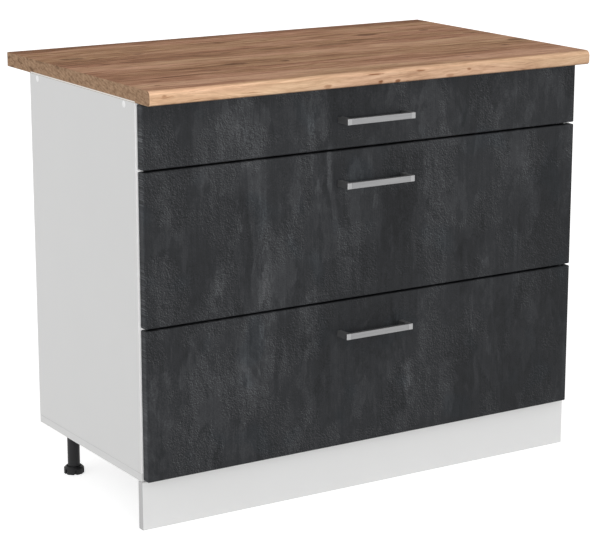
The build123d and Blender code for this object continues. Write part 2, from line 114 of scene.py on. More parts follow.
class Finish:
    """A material or the world's light, built node by node."""

    def __init__(self, name, tree=None):
        if tree is None:
            self.material = bpy.data.materials.new(name)
            self.material.use_nodes = True
            tree = self.material.node_tree
        self.tree = tree
        self.tree.nodes.clear()

    def node(self, kind, settings=None, inputs=None, output=0):
        """Adds a node of a kind, sets it up, feeds its sockets, and gives back one output."""
        made = self.tree.nodes.new(kind)
        for name, value in (settings or {}).items():
            if name == "stops":
                self.set_stops(made.color_ramp, value)
            else:
                setattr(made, name, value)
        for name, value in (inputs or {}).items():
            if isinstance(value, Value):
                self.tree.links.new(value.socket, made.inputs[name])
            else:
                made.inputs[name].default_value = value
        return Value(self, made.outputs[output] if len(made.outputs) else None)

    def set_stops(self, ramp, stops):
        """Gives a colour ramp its stops, as pairs of place and colour."""
        while len(ramp.elements) < len(stops):
            ramp.elements.new(1)
        for element, (place, colour) in zip(ramp.elements, stops):
            element.position = place
            element.color = (*colour, 1)

    def place(self, axis=None):
        """The point of the surface in the cabinet's own frame, or one of its coordinates."""
        point = self.node("ShaderNodeTexCoord", output="Object")
        if axis is None:
            return point
        return self.node("ShaderNodeSeparateXYZ", None, {0: point}, "XYZ".index(axis))

    def point(self, x, y, z):
        return self.node("ShaderNodeCombineXYZ", None, {0: x, 1: y, 2: z})

    def noise(self, stretch, detail=3, rough=0.5, warp=0.0, at=None, shift=(0, 0, 0)):
        """Cloudy noise from 0 to 1, with so many clouds a metre along each axis."""
        at = self.place() if at is None else at
        mapped = self.node("ShaderNodeMapping", None, {"Vector": at, "Scale": stretch, "Location": shift})
        inputs = {"Vector": mapped, "Scale": 1, "Detail": detail, "Roughness": rough, "Distortion": warp}
        return self.node("ShaderNodeTexNoise", None, inputs)

    def embossed(self, stretch, step, detail=2, warp=0.0):
        """Noise less the same noise a step further right and up, as if lit from one side."""
        moved = tuple(step * scale for scale in stretch)
        return self.noise(stretch, detail, 0.6, warp) - self.noise(stretch, detail, 0.6, warp, shift=moved)

    def blend(self, share, first, second, way="MIX"):
        """A colour on the way from the first to the second."""
        inputs = {"Factor": share}
        settings = {"data_type": "RGBA", "blend_type": way}
        for socket, colour in ((6, first), (7, second)):
            inputs[socket] = colour if isinstance(colour, Value) else (*colour, 1)
        return self.node("ShaderNodeMix", settings, inputs, 2)

    def ramp(self, share, stops):
        return self.node("ShaderNodeValToRGB", {"stops": stops}, {0: share})

    def relief(self, height, depth):
        """A surface turned as by a height field of so many metres."""
        return self.node("ShaderNodeBump", None, {"Height": height, "Distance": depth})

    def surface(self, **inputs):
        """The shader of the whole surface. Names take spaces for their underscores."""
        fed = {name.replace("_", " "): value for name, value in inputs.items()}
        for name, value in fed.items():
            if isinstance(value, tuple) and len(value) == 3:
                fed[name] = (*value, 1)
        shader = self.node("ShaderNodeBsdfPrincipled", None, fed)
        self.node("ShaderNodeOutputMaterial", None, {"Surface": shader})
        return self.material


def seen_through(finish):
    """1 for rays of the camera, of gloss and of glass, which show the white room itself."""
    rays = [finish.node("ShaderNodeLightPath", output=name)
            for name in ("Is Camera Ray", "Is Glossy Ray", "Is Transmission Ray")]
    return rays[0].most(rays[1]).most(rays[2])


room_light = 0.62
world = bpy.data.worlds.new("white_room")
world.use_nodes = True
bpy.context.scene.world = world
room = Finish("white_room", world.node_tree)
room_strength = room_light + seen_through(room) * (1 - room_light)
room_glow = room.node("ShaderNodeBackground", None, {"Color": (1, 1, 1, 1), "Strength": room_strength})
room.node("ShaderNodeOutputWorld", None, {"Surface": room_glow})

floor_size = 40
floor_mesh = bpy.data.meshes.new("floor")
floor_corners = np.array([(-1, -1, 0), (1, -1, 0), (1, 1, 0), (-1, 1, 0)]) * floor_size / 2
floor_mesh.from_pydata(floor_corners.tolist(), [], [(0, 1, 2, 3)])
floor = bpy.data.objects.new("floor", floor_mesh)
bpy.context.scene.collection.objects.link(floor)
floor_paint = Finish("floor_paint")
floor_diffuse = floor_paint.node("ShaderNodeBsdfDiffuse", None, {"Color": (0.72, 0.72, 0.72, 1)})
floor_lift = seen_through(floor_paint) * 0.67
floor_glow = floor_paint.node("ShaderNodeEmission", None, {"Color": (1, 1, 1, 1), "Strength": floor_lift})
floor_sum = floor_paint.node("ShaderNodeAddShader", None, {0: floor_diffuse, 1: floor_glow})
floor_paint.node("ShaderNodeOutputMaterial", None, {"Surface": floor_sum})
floor_mesh.materials.append(floor_paint.material)


def soft_sun(name, towards, strength, spread):
    """A lamp like a large soft box: light from one direction, spread over an angle in degrees."""
    lamp = bpy.data.lights.new(name, "SUN")
    lamp.energy = strength
    lamp.angle = math.radians(spread)
    holder = bpy.data.objects.new(name, lamp)
    x, y, z = towards
    holder.rotation_euler = (math.atan2(math.hypot(x, y), z), 0, math.atan2(x, -y))
    bpy.context.scene.collection.objects.link(holder)


soft_sun("front_lamp", (-0.03, -1.0, 0.05), 1.24, 16)
soft_sun("left_lamp", (-0.85, -0.2, 0.45), 0.66, 60)


def dressed(material, *nodes):
    """Gives a material to CAD nodes that keep their own shape."""
    for name in nodes:
        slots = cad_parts[name].data.materials
        slots.clear()
        slots.append(material)


def stands_for(made, node, body):
    """Hides a CAD node behind its finished piece, which moves with the node's body."""
    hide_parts(node)
    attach(made, body)
    return made


def triangles_of(node):
    """The corner points of a CAD node, each spot once, and its triangles as rows of their numbers."""
    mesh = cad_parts[node].data
    mesh.calc_loop_triangles()
    points = np.zeros(len(mesh.vertices) * 3)
    mesh.vertices.foreach_get("co", points)
    corners = np.zeros(len(mesh.loop_triangles) * 3, int)
    mesh.loop_triangles.foreach_get("vertices", corners)
    spots, spot_of = np.unique(points.reshape(-1, 3).round(7), axis=0, return_inverse=True)
    return spots, spot_of.reshape(-1)[corners].reshape(-1, 3)


def solids_of(node):
    """The separate solids of a CAD node, each as its corner points.

    Every point starts with a number of its own. Each triangle hands the lowest number of
    its corners to all three, until nothing changes, and points with one number are a solid.
    """
    points, triangles = triangles_of(node)
    number = np.arange(len(points))
    while True:
        lowest = np.repeat(number[triangles].min(1), 3)
        before = number.copy()
        np.minimum.at(number, triangles.reshape(-1), lowest)
        if (number == before).all():
            return [points[number == solid] for solid in np.unique(number)]


def piece(name, material, *shells):
    """One object made of closed shells, smooth but for edges that turn by over 40 degrees."""
    count = 0
    faces = []
    for points, corners in shells:
        faces += [[corner + count for corner in face] for face in corners]
        count += len(points)
    mesh = bpy.data.meshes.new(name)
    mesh.from_pydata(np.concatenate([points for points, _ in shells]).tolist(), [], faces)
    mesh.polygons.foreach_set("use_smooth", np.ones(len(mesh.polygons), bool))
    mesh.set_sharp_from_angle(angle=math.radians(40))
    mesh.materials.append(material)
    made = bpy.data.objects.new(name, mesh)
    bpy.context.scene.collection.objects.link(made)
    return made


def eased_board(node, material, body, width=0.0006):
    """A copy of a CAD board with all its holes and grooves, whose edges are eased by a bevel."""
    points, triangles = triangles_of(node)
    made = piece(node + "_eased", material, (points, triangles.tolist()))
    bevel = made.modifiers.new("eased_edges", "BEVEL")
    bevel.width = width
    bevel.segments = 2
    bevel.limit_method = "ANGLE"
    bevel.angle_limit = math.radians(40)
    return stands_for(made, node, body)


# ---- carcass boards --------------------------------------
# Two sides, a bottom and two rails of 16 mm chipboard faced with white melamine. Their
# edges are banded where they show, and left as bare chips at the wall and under the top.
chip_tones = [(0, (0.30, 0.19, 0.10)), (0.45, (0.46, 0.31, 0.18)),
              (0.75, (0.60, 0.43, 0.26)), (1, (0.36, 0.24, 0.13))]
side_low, side_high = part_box("left_side_panel")


def bare_chips(finish):
    """Pressed wood chips: small flat flakes, each of its own brown."""
    inputs = {"Vector": finish.place(), "Scale": 420, "Randomness": 1}
    flakes = finish.node("ShaderNodeTexVoronoi", None, inputs, 1)
    tone = finish.node("ShaderNodeSeparateXYZ", None, {0: flakes})
    return finish.ramp(tone, chip_tones)


def white_board(name, tone, bare, band=None):
    """White melamine with a faint pearl texture.

    bare is the share of a point that is raw edge, and band gives a share of the board and the
    tone painted on it: painted highlights on front edge bands, painted shade at a joint and on end bands.
    """
    board = Finish(name)
    cloud = board.noise((9, 9, 9), detail=2)
    pearl = board.noise((900, 900, 900), detail=1)
    melamine = board.blend(cloud, (tone, tone, tone * 0.995), (tone + 0.03, tone + 0.03, tone + 0.026))
    if band:
        painted_band_share, painted_band_tone = band(board)
        melamine = board.blend(painted_band_share, melamine, (painted_band_tone, painted_band_tone, painted_band_tone))
    share = bare(board)
    relief = board.relief(pearl + share * board.noise((500, 500, 500)) * 12, 0.00004)
    rough = 0.36 + cloud * 0.08 + share * 0.4
    colour = board.blend(share, melamine, bare_chips(board))
    return board.surface(Base_Color=colour, Roughness=rough, Normal=relief)


def at_high_face(along, high):
    """1 within 0.1 mm of the face at a coordinate's high end, and 0 from 0.3 mm on."""
    return along.between(high - 0.0003, high - 0.0001)


def at_low_face(along, low):
    """1 within 0.1 mm of the face at a coordinate's low end, and 0 from 0.3 mm on."""
    return 1 - along.between(low + 0.0001, low + 0.0003)


def bare_at_wall(board):
    return at_high_face(board.place("Y"), side_high.y)


def bare_at_wall_and_top(board):
    return bare_at_wall(board).most(at_high_face(board.place("Z"), side_high.z))


# The front edge band is real white banding. Its tone of 0.98, brighter than the faces, is a painted highlight
# where the narrow edge catches the lamp.
def bright_front_band(board):
    return 1 - board.place("Y").between(side_low.y + 0.0001, side_low.y + 0.0008), 0.98


# A dark line where each side meets the bottom panel: painted shade in the groove between the two boards.
def joint_line(board):
    at_end = board.place("X").size().between(-side_low.x - 0.0004, -side_low.x - 0.0001)
    return at_end * board.place("Z").between(bottom_high.z - 0.0012, bottom_high.z - 0.0008), 0.56


_, bottom_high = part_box("bottom_panel")
side_board = white_board("side_board", 0.735, bare_at_wall_and_top, bright_front_band)
bottom_board = white_board("bottom_board", 0.735, bare_at_wall, joint_line)
rail_board = white_board("rail_board", 0.815, bare_at_wall, bright_front_band)
for node in ("left_side_panel", "right_side_panel"):
    eased_board(node, side_board, "carcass")
eased_board("bottom_panel", bottom_board, "carcass")
for node in ("front_top_rail", "rear_top_rail"):
    eased_board(node, rail_board, "carcass")

# ---- back panel and drawer bottoms -----------------------
# Hardboard, lacquered white on the side that is seen from the drawers and bare brown,
# with the mesh of the press, on the other. It sits loose in grooves.
press_mesh = 2600


def hardboard(name, axis, middle, white_is_high):
    """Hardboard that is white on one side of its middle plane and brown on the other."""
    sheet = Finish(name)
    share = sheet.place(axis).between(middle - 0.0002, middle + 0.0002)
    white_share = share if white_is_high else 1 - share
    fibre = sheet.noise((260, 260, 260), detail=5, rough=0.7)
    brown = sheet.blend(fibre, (0.20, 0.115, 0.06), (0.36, 0.22, 0.125))
    upright = sheet.place("Z" if axis == "Y" else "Y")
    weave = ((sheet.place("X") * press_mesh).wave() + (upright * press_mesh).wave()) * 0.25
    relief = sheet.relief(fibre + weave * (1 - white_share), 0.00012)
    colour = sheet.blend(white_share, brown, (0.79, 0.79, 0.78))
    return sheet.surface(Base_Color=colour, Roughness=0.75 - white_share * 0.35, Normal=relief)


back_low, back_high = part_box("back_panel")
dressed(hardboard("back_hardboard", "Y", (back_low.y + back_high.y) / 2, False), "back_panel")

# ---- worktop ---------------------------------------------
# A 28 mm board under an oak laminate, which is bent round the front edge and glued on as
# a strip at both ends. It is screwed to the rails from below and reaches past the back.
top_low, top_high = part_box("worktop")
nose_radius = 0.010
lip_radius = 0.007
arris = 0.0006
flat_edge = 0.0003
# Where the painted highlight along the lower edge of the worktop's ends runs, and how high it reaches.
end_highlight_front = -0.246
end_highlight_back = 0.194
end_highlight_height = 0.0028


def shell_through(rings):
    """A closed shell through rings of points, with its first and last ring filled.

    rings has the shape (rings, points, 3). Each quad joins a point with the next one on
    its ring and with the same two on the next ring. Where the volume under all the
    triangles comes out below zero, every face is turned round.
    """
    count, around, _ = rings.shape
    ring = np.arange(count - 1)[:, None] * around
    here = np.arange(around)
    after = (here + 1) % around
    corners = [ring + here, ring + after, ring + around + after, ring + around + here]
    quads = np.stack(corners, -1).reshape(-1, 4)
    ends = [here[::-1], (count - 1) * around + here]
    fans = [np.stack([np.full(around - 2, end[0]), end[1:-1], end[2:]], 1) for end in ends]
    points = rings.reshape(-1, 3)
    a, b, c = points[np.concatenate([quads[:, :3], quads[:, [0, 2, 3]], *fans])].transpose(1, 0, 2)
    turned_round = np.einsum("ij,ij->", a, np.cross(b, c)) < 0
    faces = quads.tolist() + [end.tolist() for end in ends]
    return points, [face[::-1] for face in faces] if turned_round else faces


def softened(corners, radii, inset, arc_steps=12):
    """A closed outline whose corners are arcs, drawn inwards by an inset.

    Each side moves in along its normal and meets its neighbours again, at the corner plus
    the inset times the sum of both normals over one plus their product. An arc that touches
    both sides replaces the corner. Its radius is less by the inset where the outline bends
    outwards and more where it bends inwards. One more point before and after each arc
    keeps the sides flat when shaded. The corners run anticlockwise.
    """
    corners = np.array(corners, float)
    along = np.roll(corners, -1, 0) - corners
    along /= np.linalg.norm(along, axis=1)[:, None]
    came = np.roll(along, 1, 0)
    inwards = np.stack([-along[:, 1], along[:, 0]], 1)
    inwards_before = np.roll(inwards, 1, 0)
    aligned = (inwards * inwards_before).sum(1)
    moved = corners + inset * (inwards + inwards_before) / (1 + aligned)[:, None]
    turn = np.arctan2(came[:, 0] * along[:, 1] - came[:, 1] * along[:, 0], (came * along).sum(1))
    radius = np.maximum(np.array(radii, float) - np.sign(turn) * inset, 0.00002)
    reach = (radius * np.tan(np.abs(turn) / 2))[:, None]
    centre = moved - came * reach + inwards_before * (radius * np.sign(turn))[:, None]
    spoke = moved - came * reach - centre
    angle = turn[:, None] * np.linspace(0, 1, arc_steps)
    across = np.stack([-spoke[:, 1], spoke[:, 0]], 1)
    cosine, sine = np.cos(angle)[..., None], np.sin(angle)[..., None]
    arc = centre[:, None] + cosine * spoke[:, None] + sine * across[:, None]
    first = moved - came * (reach + flat_edge)
    last = moved + along * (reach + flat_edge)
    return np.concatenate([first[:, None], arc, last[:, None]], 1).reshape(-1, 2)


def rectangle(low, high):
    """Four corners, anticlockwise."""
    return [(low[0], low[1]), (high[0], low[1]), (high[0], high[1]), (low[0], high[1])]


def eased(low, high, radius_low, radius_high, steps=7):
    """Places along a bar with the inset of its outline there: a quarter circle at either end."""
    quarter = np.linspace(0, math.pi / 2, steps)
    start = [(low + radius_low * (1 - math.sin(t)), radius_low * (1 - math.cos(t))) for t in quarter[::-1]]
    end = [(high - radius_high * (1 - math.sin(t)), radius_high * (1 - math.cos(t))) for t in quarter]
    return ([(low, radius_low + flat_edge)] + start + [(low + radius_low + flat_edge, 0)]
            + [(high - radius_high - flat_edge, 0)] + end + [(high, radius_high + flat_edge)])


def swept(axis, corners, radii, places):
    """A softened outline carried along an axis, with the inset that each place gives it."""
    others = [i for i in range(3) if i != "XYZ".index(axis)]
    rings = []
    for place, inset in places:
        outline = softened(corners, radii, inset)
        ring = np.full((len(outline), 3), place)
        ring[:, others] = outline
        rings.append(ring)
    return shell_through(np.array(rings))


def oak_laminate():
    """Printed oak: long grain along X that flows round knots, with pores, cracks and warm bands.

    Each knot is given by its place along X and across the grain, half its length and width,
    and its darkness, and each band by its place across, half its width and its strength.
    """
    oak = Finish("oak_laminate")
    x, y, z = oak.place("X"), oak.place("Y"), oak.place("Z")
    front_y, back_y = top_low.y, top_high.y
    under_z, top_z = top_low.z, top_high.z
    across = y + z - top_z
    knots = [
        (-0.435, 0.14, 0.034, 0.016, 0.8), (-0.29, 0.135, 0.014, 0.009, 1),
        (-0.1, 0.2, 0.06, 0.012, 0.4), (0.255, 0.14, 0.034, 0.018, 0.9),
        (0.403, 0.14, 0.014, 0.009, 1), (-0.2, -0.085, 0.036, 0.014, 0.9),
        (-0.095, -0.1, 0.012, 0.009, 1), (-0.275, -0.14, 0.018, 0.006, 0.8),
        (0.48, -0.085, 0.03, 0.014, 0.9), (0.407, -0.14, 0.016, 0.008, 0.9),
        (-0.14, 0.055, 0.09, 0.02, 0.2), (0.12, 0.05, 0.05, 0.012, 0.5),
        (-0.47, -0.311, 0.006, 0.003, 0.6), (-0.125, -0.321, 0.011, 0.0038, 0.7),
        (-0.015, -0.307, 0.022, 0.0019, 1), (-0.006, -0.322, 0.007, 0.0028, 1),
        (0.033, -0.323, 0.008, 0.0028, 1), (0.086, -0.308, 0.012, 0.0024, 0.9),
        (0.2, -0.314, 0.006, 0.0028, 0.8), (0.155, -0.322, 0.012, 0.003, 0.6),
        (0.24, -0.24, 0.014, 0.005, 0.7), (0.06, -0.25, 0.01, 0.004, 0.7),
        (-0.455, -0.245, 0.009, 0.005, 0.7), (0.46, 0.05, 0.022, 0.012, 0.7),
    ]
    wander = oak.noise((2.6, 7, 7))
    ragged = oak.noise((60, 160, 160), rough=0.65) - 0.5
    waver = oak.noise((11, 16, 16), rough=0.6, shift=(4, 4, 4)) - 0.5
    flow = across + (wander - 0.5) * 0.035 + waver * 0.010
    eyes = 0
    for knot_x, knot_v, half_length, half_width, darkness in knots:
        far = (((x - knot_x) / half_length) ** 2 + ((across - knot_v) / half_width) ** 2) * 0.5
        near = oak.node("ShaderNodeMath", {"operation": "EXPONENT"}, {0: far * -1})
        flow = flow - (across - knot_v) * near * 0.85
        eyes = (near + ragged * 0.7).between(0.56, 0.92) * darkness + eyes
    grain = oak.point(x, flow, z * 0.05)
    bands = oak.noise((0.8, 14, 0), detail=2, at=grain)
    streaks = oak.noise((8, 90, 0), detail=6, rough=0.70, warp=0.8, at=grain)
    hills = oak.noise((1.1, 7, 0), detail=1, at=grain, shift=(3, 1, 0))
    contour = (hills * 170).wave() * 0.5 + 0.5
    fibre = oak.noise((16, 700, 0), detail=2, at=grain)
    pores = oak.noise((45, 1500, 0), detail=1, at=grain).between(0.58, 0.70)
    cracks = oak.noise((9, 210, 0), rough=0.6, at=grain, shift=(5, 2, 0)).between(0.62, 0.70)
    heart = oak.noise((2.2, 20, 0), detail=2, at=grain, shift=(1, 7, 0)).between(0.50, 0.72)
    drift = oak.noise((1.5, 4, 0), detail=2, at=grain, shift=(8, 3, 0)) - 0.5
    warm_and_dark = [(0.278, 0.022, -0.20), (0.075, 0.045, -0.09), (-0.005, 0.028, 0.08),
                     (-0.137, 0.007, -0.10), (-0.085, 0.020, -0.04), (-0.250, 0.035, 0.13)]
    print_bands = 0
    for band_v, half_width, strength in warm_and_dark:
        off_band = ((flow + drift * 0.03 - band_v) / half_width).size()
        print_bands = (1 - off_band.between(0.2, 1.3)) * strength + print_bands
    tone = (bands - 0.5) * 0.5 + (streaks - 0.5) * 1.45 - contour * heart * 0.16
    tone = tone + (fibre - 0.5) * 0.35 + print_bands + 0.46
    wood = oak.ramp(tone, [(0.18, (0.182, 0.080, 0.039)), (0.42, (0.368, 0.200, 0.116)),
                           (0.56, (0.465, 0.274, 0.170)), (0.80, (0.610, 0.392, 0.258))])
    hue = oak.noise((3, 22, 22), detail=2, shift=(6, 6, 6)).between(0.35, 0.65)
    wood = oak.blend(1.0, wood, oak.blend(hue, (1.05, 0.98, 0.98), (1.00, 1.01, 0.93)), "MULTIPLY")
    at_back = y.between(back_y - 0.022, back_y - 0.002)
    dark = (eyes.least(1) * 0.85).most(pores * 0.30).most(cracks * 0.55).most(at_back * 0.5)
    wood = oak.blend(dark, wood, (0.120, 0.047, 0.020))
    # The nose is painted lighter than the top, as if lit from the front, and lighter still towards the left,
    # nearer the lamp: painted light. Its upper bend gets a painted highlight.
    at_nose = 1 - y.between(front_y + 0.001, front_y + nose_radius)
    painted_bend_highlight = at_nose * z.between(top_z - nose_radius, top_z - nose_radius / 2)
    nose_painted_light_gain = 1.50 + (1 - x.between(-0.5, 0.0)) * 0.42 + painted_bend_highlight * 0.28
    painted_lit_nose_wood = oak.blend(0.42 - dark * 0.42, wood, (0.440, 0.260, 0.164))
    nose_light = oak.point(nose_painted_light_gain, nose_painted_light_gain * (1.14 - dark * 0.18), nose_painted_light_gain * (1.23 - dark * 0.30))
    painted_lit_nose_wood = oak.blend(1.0, painted_lit_nose_wood, nose_light, "MULTIPLY")
    # The lower rounding of the nose is painted dark brown: painted shade on the downward-turned lip.
    painted_lip_shade = 1 - z.between(under_z + 0.0005, under_z + 0.0030)
    painted_lit_nose_wood = oak.blend(painted_lip_shade * 0.75, painted_lit_nose_wood, (0.17, 0.095, 0.055))
    wood = oak.blend(at_nose, wood, painted_lit_nose_wood)
    end = x.size().between(0.4996, 0.4999)
    speckle = oak.noise((1, 220, 560), detail=4, rough=0.75)
    slant = oak.noise((1, 60, 200), at=oak.point(0, y + z * 0.9, z - y * 0.35))
    stain = oak.noise((1, 26, 60), at=oak.point(0, y + z * 0.5, z)).between(0.52, 0.66)
    end_tones = [(0.30, (0.19, 0.112, 0.067)), (0.50, (0.420, 0.268, 0.168)), (0.72, (0.58, 0.392, 0.257))]
    banding = oak.ramp(speckle * 0.36 + slant * 0.59 - stain * y.between(-0.05, 0.10) * 0.12, end_tones)
    wood = oak.blend(end, wood, banding)
    # A bright line along the lower edge of each end, from the front of the side panel back to its rear: a
    # painted highlight where the side panel's top edge catches the light.
    end_highlight = end * (1 - z.between(under_z + end_highlight_height - 0.0004, under_z + end_highlight_height))
    end_highlight = end_highlight * y.between(end_highlight_front, end_highlight_front + 0.004) * (1 - y.between(end_highlight_back - 0.004, end_highlight_back))
    wood = oak.blend(end_highlight, wood, (0.97, 0.93, 0.88))
    paper = oak.blend(oak.noise((60, 60, 60)), (0.56, 0.54, 0.50), (0.61, 0.59, 0.55))
    wood = oak.blend(at_low_face(z, under_z) * (1 - at_nose), wood, paper)
    wood = oak.blend(at_high_face(y, back_y), wood, bare_chips(oak))
    relief = oak.relief(fibre * 0.5 - pores - cracks * 2 - eyes.least(1), 0.00006)
    rough = 0.52 + fibre * 0.08 + pores * 0.15
    return oak.surface(Base_Color=wood, Roughness=rough, Normal=relief, Specular_IOR_Level=0.012)


worktop_shell = swept("X", rectangle(top_low.yz, top_high.yz), [lip_radius, arris, arris, nose_radius],
                      eased(top_low.x, top_high.x, arris, arris, 4))
stands_for(piece("oak_worktop", oak_laminate(), worktop_shell), "worktop", "carcass")

# ---- plinth ----------------------------------------------
# A white melamine board that stands on the floor and is clipped to the two front legs.
_, plinth_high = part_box("plinth_board")


def never_bare(board):
    return board.place("Z").between(plinth_high.z + 1, plinth_high.z + 2)


# The ends of the plinth are painted darker than its face: painted shade on the end faces.
def dull_end_band(board):
    return board.place("X").size().between(plinth_high.x - 0.0004, plinth_high.x - 0.0001), 0.55


plinth_finish = white_board("plinth_board_finish", 0.785, never_bare, dull_end_band)
eased_board("plinth_board", plinth_finish, "carcass")


# ---- legs and plinth clips -------------------------------
# Black moulded plastic: a flanged tube screwed under the bottom panel, and a foot that
# screws up and down in it. The foot has a bevelled rim with notches for a spanner.
def moulded_black():
    """Black plastic with a fine spark-eroded texture and a little grey bloom."""
    plastic = Finish("moulded_black")
    bloom = plastic.noise((40, 40, 40), detail=2)
    grain = plastic.noise((1500, 1500, 1500), detail=1)
    colour = plastic.blend(bloom, (0.009, 0.009, 0.010), (0.018, 0.018, 0.020))
    relief = plastic.relief(grain, 0.00005)
    rough = 0.38 + bloom * 0.15
    return plastic.surface(Base_Color=colour, Roughness=rough, Normal=relief, Specular_IOR_Level=0.28)


def turned(profile, angles, centre=(0, 0, 0), reach=None):
    """A shell turned about an upright axis: at each height a circle of the profile's radius.

    The profile is a list of radius and height. reach gives the radius at each step of the
    profile and each angle, where the shell isn't round.
    """
    radius, height = np.array(profile, float).T
    radius = np.repeat(radius[:, None], len(angles), 1) if reach is None else reach
    heights = np.repeat(height[:, None], len(angles), 1)
    rings = np.stack([radius * np.cos(angles), radius * np.sin(angles), heights], -1) + np.array(centre)
    return shell_through(rings)


round_angles = np.linspace(0, 2 * math.pi, 72, endpoint=False)
tube_radius = 0.0125
boss_radius = 0.0155
bore_radius = 0.00806
bore_top = 0.073
flange = 0.004
notch_count = 6
notch_start = math.radians(11.25)
notch_half_angle = 0.115
notch_depth = 0.0045
notch_top = 0.0105
rim_top = 0.015
rim_bevel = 0.004
rim_inner = 0.0146
foot_floor = 0.009
stem_radius = 0.008
edge = 0.0004


def leg_tube_shell(points):
    """A flange with a coned boss, a tube down to its rounded lower end, and the bore inside it."""
    low, high = points.min(0), points.max(0)
    x, y, _ = (low + high) / 2
    wide = (high[0] - low[0]) / 2
    under = high[2] - flange
    profile = [(0.001, high[2]), (wide - edge, high[2]), (wide, high[2] - edge), (wide, under + edge),
               (wide - edge, under), (boss_radius, under), (tube_radius + edge, under - 0.006),
               (tube_radius, under - 0.008), (tube_radius, low[2] + edge), (tube_radius - edge, low[2]),
               (bore_radius + edge, low[2]), (bore_radius, low[2] + edge), (bore_radius, bore_top),
               (0.001, bore_top)]
    return turned(profile, round_angles, (x, y, 0))


def foot_shell(node):
    """A notched foot: a rim with a bevel round a sunk floor, and a stem that stands in it.

    The radius is less by the notch's depth where the angle lies within one of the notches,
    from the ground up to their top.
    """
    low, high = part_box(node)
    wide = (high.x - low.x) / 2
    side = np.array([-1.06, -0.94, 0.94, 1.06]) * notch_half_angle
    between_notches = np.linspace(0.2, 2 * math.pi / notch_count - 0.2, 8)
    sixth = np.concatenate([side, between_notches])
    angles = notch_start + (np.arange(notch_count)[:, None] * 2 * math.pi / notch_count + sixth).reshape(-1)
    in_notch = np.tile(np.abs(sixth) < notch_half_angle, notch_count)
    profile = [(0.002, 0), (wide - 0.006, 0), (wide - edge, 0), (wide, edge), (wide, notch_top - 0.00005),
               (wide, notch_top), (wide, rim_top - rim_bevel), (wide - rim_bevel, rim_top),
               (rim_inner + edge, rim_top), (rim_inner, rim_top - edge), (rim_inner, foot_floor),
               (stem_radius, foot_floor), (stem_radius, high.z - 0.001), (stem_radius - 0.001, high.z),
               (0.001, high.z)]
    radius, height = np.array(profile).T
    cut = (height[:, None] < notch_top) & in_notch
    reach = np.where(cut, np.minimum(radius[:, None], wide - notch_depth), radius[:, None])
    return turned(profile, angles, ((low.x + high.x) / 2, (low.y + high.y) / 2, 0), reach)


black_plastic = moulded_black()
eased_board("plinth_clips", black_plastic, "carcass", 0.0004)
leg_shells = [leg_tube_shell(points) for points in solids_of("leg_tubes")]
stands_for(piece("flanged_legs", black_plastic, *leg_shells), "leg_tubes", "carcass")
for corner in ("front_left", "front_right", "rear_left", "rear_right"):
    node = corner + "_foot"
    stands_for(piece(corner + "_screw_foot", black_plastic, foot_shell(node)), node, node)


